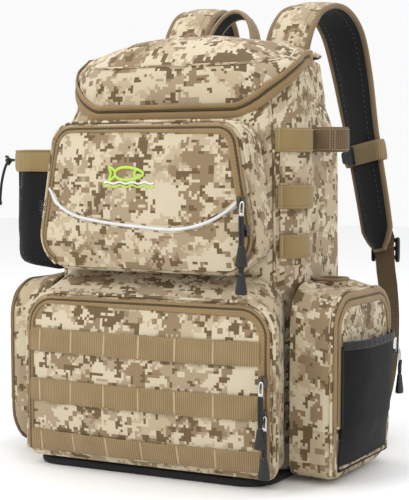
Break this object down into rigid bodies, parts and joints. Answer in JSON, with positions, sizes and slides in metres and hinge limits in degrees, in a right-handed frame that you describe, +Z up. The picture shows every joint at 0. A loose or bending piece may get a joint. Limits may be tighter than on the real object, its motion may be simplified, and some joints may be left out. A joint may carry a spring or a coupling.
{
  "type": "tackle backpack",
  "caption": "Soft fishing backpack with a hinged lid, front and side pockets, a bottle sleeve, tool loops, a rod holder and padded shoulder straps.",
  "frame": {"origin": "middle of the base's underside, on the ground", "axes": "+Z up, front faces -Y, +X towards the rod and tool side, which is the right side seen from the front"},
  "size_m": [0.4652, 0.3915, 0.5227],
  "materials": {
    "camo_cloth": "digital desert camouflage polyester, matt",
    "base_cloth": "black coated polyester",
    "back_cloth": "black polyester",
    "air_mesh": "black spacer mesh over foam",
    "slider_metal": "dark plated zinc",
    "cord": "black cord with a moulded grip",
    "zipper_tape": "tan coil zipper tape",
    "webbing": "tan ribbed webbing",
    "elastic": "tan woven elastic",
    "mesh": "black hexagonal mesh",
    "handle_band": "tan band over black cloth",
    "yoke": "tan tape over foam",
    "buckle": "black acetal",
    "patch": "plain moulded patch"
  },
  "bodies": {
    "pack": {"base_panel": "base_cloth", "front_panel": "camo_cloth", "right_side_panel": "camo_cloth", "left_side_panel": "camo_cloth", "back_panel": "back_cloth", "back_pad": "air_mesh", "lower_pocket_gusset": "camo_cloth", "upper_pocket_gusset": "camo_cloth", "right_pocket_shell": "camo_cloth", "left_pocket_shell": "camo_cloth", "rod_sleeve": "camo_cloth", "bottle_mesh": "mesh", "bottle_band": "elastic", "drawcord": "cord", "tool_patch": "camo_cloth", "tool_loop_top": "elastic", "tool_loop_middle": "elastic", "tool_loop_bottom": "elastic", "strap_yoke": "yoke", "strap_foot_band": "webbing"},
    "lid": {"lid_shell": "camo_cloth", "lid_zip": "zipper_tape"},
    "upper_door": {"upper_flap": "camo_cloth", "upper_zip": "zipper_tape", "emblem_patch": "patch"},
    "lower_door": {"lower_flap": "camo_cloth", "lower_zip": "zipper_tape", "molle_webbing_1": "webbing", "molle_webbing_2": "webbing", "molle_webbing_3": "webbing"},
    "right_side_door": {"right_door": "camo_cloth", "right_zip": "zipper_tape", "right_mesh_pocket": "mesh"},
    "right_strap": {"right_shoulder_strap": "camo_cloth", "right_adjuster_webbing": "webbing", "right_ladder_lock": "buckle"},
    "right_chest": {"right_chest_band": "webbing"},
    "left_side_door": {"left_door": "camo_cloth", "left_zip": "zipper_tape", "left_mesh_pocket": "mesh"},
    "left_strap": {"left_shoulder_strap": "camo_cloth", "left_adjuster_webbing": "webbing", "left_ladder_lock": "buckle"},
    "left_chest": {"left_chest_band": "webbing"},
    "handle": {"carry_handle": "handle_band"},
    "rod_keeper": {"rod_strap": "webbing"},
    "upper_slider_1": {"upper_slider_1": "slider_metal"},
    "upper_pull_1": {"upper_pull_1": "cord"},
    "upper_slider_2": {"upper_slider_2": "slider_metal"},
    "upper_pull_2": {"upper_pull_2": "cord"},
    "lower_slider_1": {"lower_slider_1": "slider_metal"},
    "lower_pull_1": {"lower_pull_1": "cord"},
    "lower_slider_2": {"lower_slider_2": "slider_metal"},
    "lower_pull_2": {"lower_pull_2": "cord"},
    "right_side_slider": {"right_side_slider": "slider_metal"},
    "right_side_pull": {"right_side_pull": "cord"},
    "left_side_slider": {"left_side_slider": "slider_metal"},
    "left_side_pull": {"left_side_pull": "cord"},
    "lid_slider": {"lid_slider": "slider_metal"},
    "lid_pull": {"lid_pull": "cord"}
  },
  "joints": [
    {"name": "lid_hinge", "type": "hinge", "parent": "pack", "child": "lid", "pos_m": [0, 0.088, 0.4465], "axis": [-1, 0, 0], "range_deg": [0, 62]},
    {"name": "upper_door_hinge", "type": "hinge", "parent": "pack", "child": "upper_door", "pos_m": [0, -0.101, 0.219], "axis": [1, 0, 0], "range_deg": [0, 80]},
    {"name": "lower_door_hinge", "type": "hinge", "parent": "pack", "child": "lower_door", "pos_m": [0, -0.1115, 0.017], "axis": [1, 0, 0], "range_deg": [0, 80]},
    {"name": "right_side_door_hinge", "type": "hinge", "parent": "pack", "child": "right_side_door", "pos_m": [0.203, 0.0225, 0.058], "axis": [0, 1, 0], "range_deg": [0, 75]},
    {"name": "left_side_door_hinge", "type": "hinge", "parent": "pack", "child": "left_side_door", "pos_m": [-0.203, 0.0225, 0.058], "axis": [0, -1, 0], "range_deg": [0, 75]},
    {"name": "handle_swing", "type": "hinge", "parent": "pack", "child": "handle", "pos_m": [0, 0.104, 0.453], "axis": [-1, 0, 0], "range_deg": [0, 30]},
    {"name": "right_strap_swing", "type": "hinge", "parent": "pack", "child": "right_strap", "pos_m": [0.067, 0.11, 0.449], "axis": [-0.2108, -0.0317, 0.977], "range_deg": [-25, 12]},
    {"name": "left_strap_swing", "type": "hinge", "parent": "pack", "child": "left_strap", "pos_m": [-0.067, 0.11, 0.449], "axis": [-0.2108, 0.0317, -0.977], "range_deg": [-25, 12]},
    {"name": "rod_strap_swing", "type": "hinge", "parent": "pack", "child": "rod_keeper", "pos_m": [0.149, 0.032, 0.355], "axis": [0, 0, 1], "range_deg": [0, 78]},
    {"name": "right_chest_slide", "type": "slide", "parent": "right_strap", "child": "right_chest", "axis": [0.163, 0, -0.9866], "range_m": [-0.012, 0.012]},
    {"name": "left_chest_slide", "type": "slide", "parent": "left_strap", "child": "left_chest", "axis": [-0.163, 0, -0.9866], "range_m": [-0.012, 0.012]},
    {"name": "upper_slider_1_slide", "type": "slide", "parent": "upper_door", "child": "upper_slider_1", "axis": [-0.1553, 0, 0.9879], "range_m": [0, 0.035]},
    {"name": "upper_slider_2_slide", "type": "slide", "parent": "upper_door", "child": "upper_slider_2", "axis": [-0.1553, 0, 0.9879], "range_m": [0, 0.014]},
    {"name": "lower_slider_1_slide", "type": "slide", "parent": "lower_door", "child": "lower_slider_1", "axis": [0, 0, 1], "range_m": [0, 0.035]},
    {"name": "lower_slider_2_slide", "type": "slide", "parent": "lower_door", "child": "lower_slider_2", "axis": [0, 0, 1], "range_m": [0, 0.015]},
    {"name": "right_side_slider_slide", "type": "slide", "parent": "right_side_door", "child": "right_side_slider", "axis": [0, 0, 1], "range_m": [0, 0.035]},
    {"name": "left_side_slider_slide", "type": "slide", "parent": "left_side_door", "child": "left_side_slider", "axis": [0, 0, 1], "range_m": [0, 0.035]},
    {"name": "lid_slider_slide", "type": "slide", "parent": "lid", "child": "lid_slider", "axis": [0, 1, 0], "range_m": [0, 0.022]},
    {"name": "upper_pull_1_swing", "type": "hinge", "parent": "upper_slider_1", "child": "upper_pull_1", "pos_m": [0.1125, -0.1136, 0.288], "axis": [-1, 0, 0], "range_deg": [0, 70]},
    {"name": "upper_pull_2_swing", "type": "hinge", "parent": "upper_slider_2", "child": "upper_pull_2", "pos_m": [0.1279, -0.1136, 0.26], "axis": [-1, 0, 0], "range_deg": [0, 70]},
    {"name": "lower_pull_1_swing", "type": "hinge", "parent": "lower_slider_1", "child": "lower_pull_1", "pos_m": [0.1365, -0.123, 0.11], "axis": [-1, 0, 0], "range_deg": [0, 70]},
    {"name": "lower_pull_2_swing", "type": "hinge", "parent": "lower_slider_2", "child": "lower_pull_2", "pos_m": [0.1475, -0.123, 0.076], "axis": [-1, 0, 0], "range_deg": [0, 70]},
    {"name": "right_side_pull_swing", "type": "hinge", "parent": "right_side_slider", "child": "right_side_pull", "pos_m": [0.2146, 0.095, 0.124], "axis": [0, -1, 0], "range_deg": [0, 70]},
    {"name": "left_side_pull_swing", "type": "hinge", "parent": "left_side_slider", "child": "left_side_pull", "pos_m": [-0.2146, 0.095, 0.124], "axis": [0, 1, 0], "range_deg": [0, 70]},
    {"name": "lid_pull_swing", "type": "hinge", "parent": "lid_slider", "child": "lid_pull", "pos_m": [-0.1478, 0.022, 0.442], "axis": [0, 1, 0], "range_deg": [0, 70]}
  ]
}
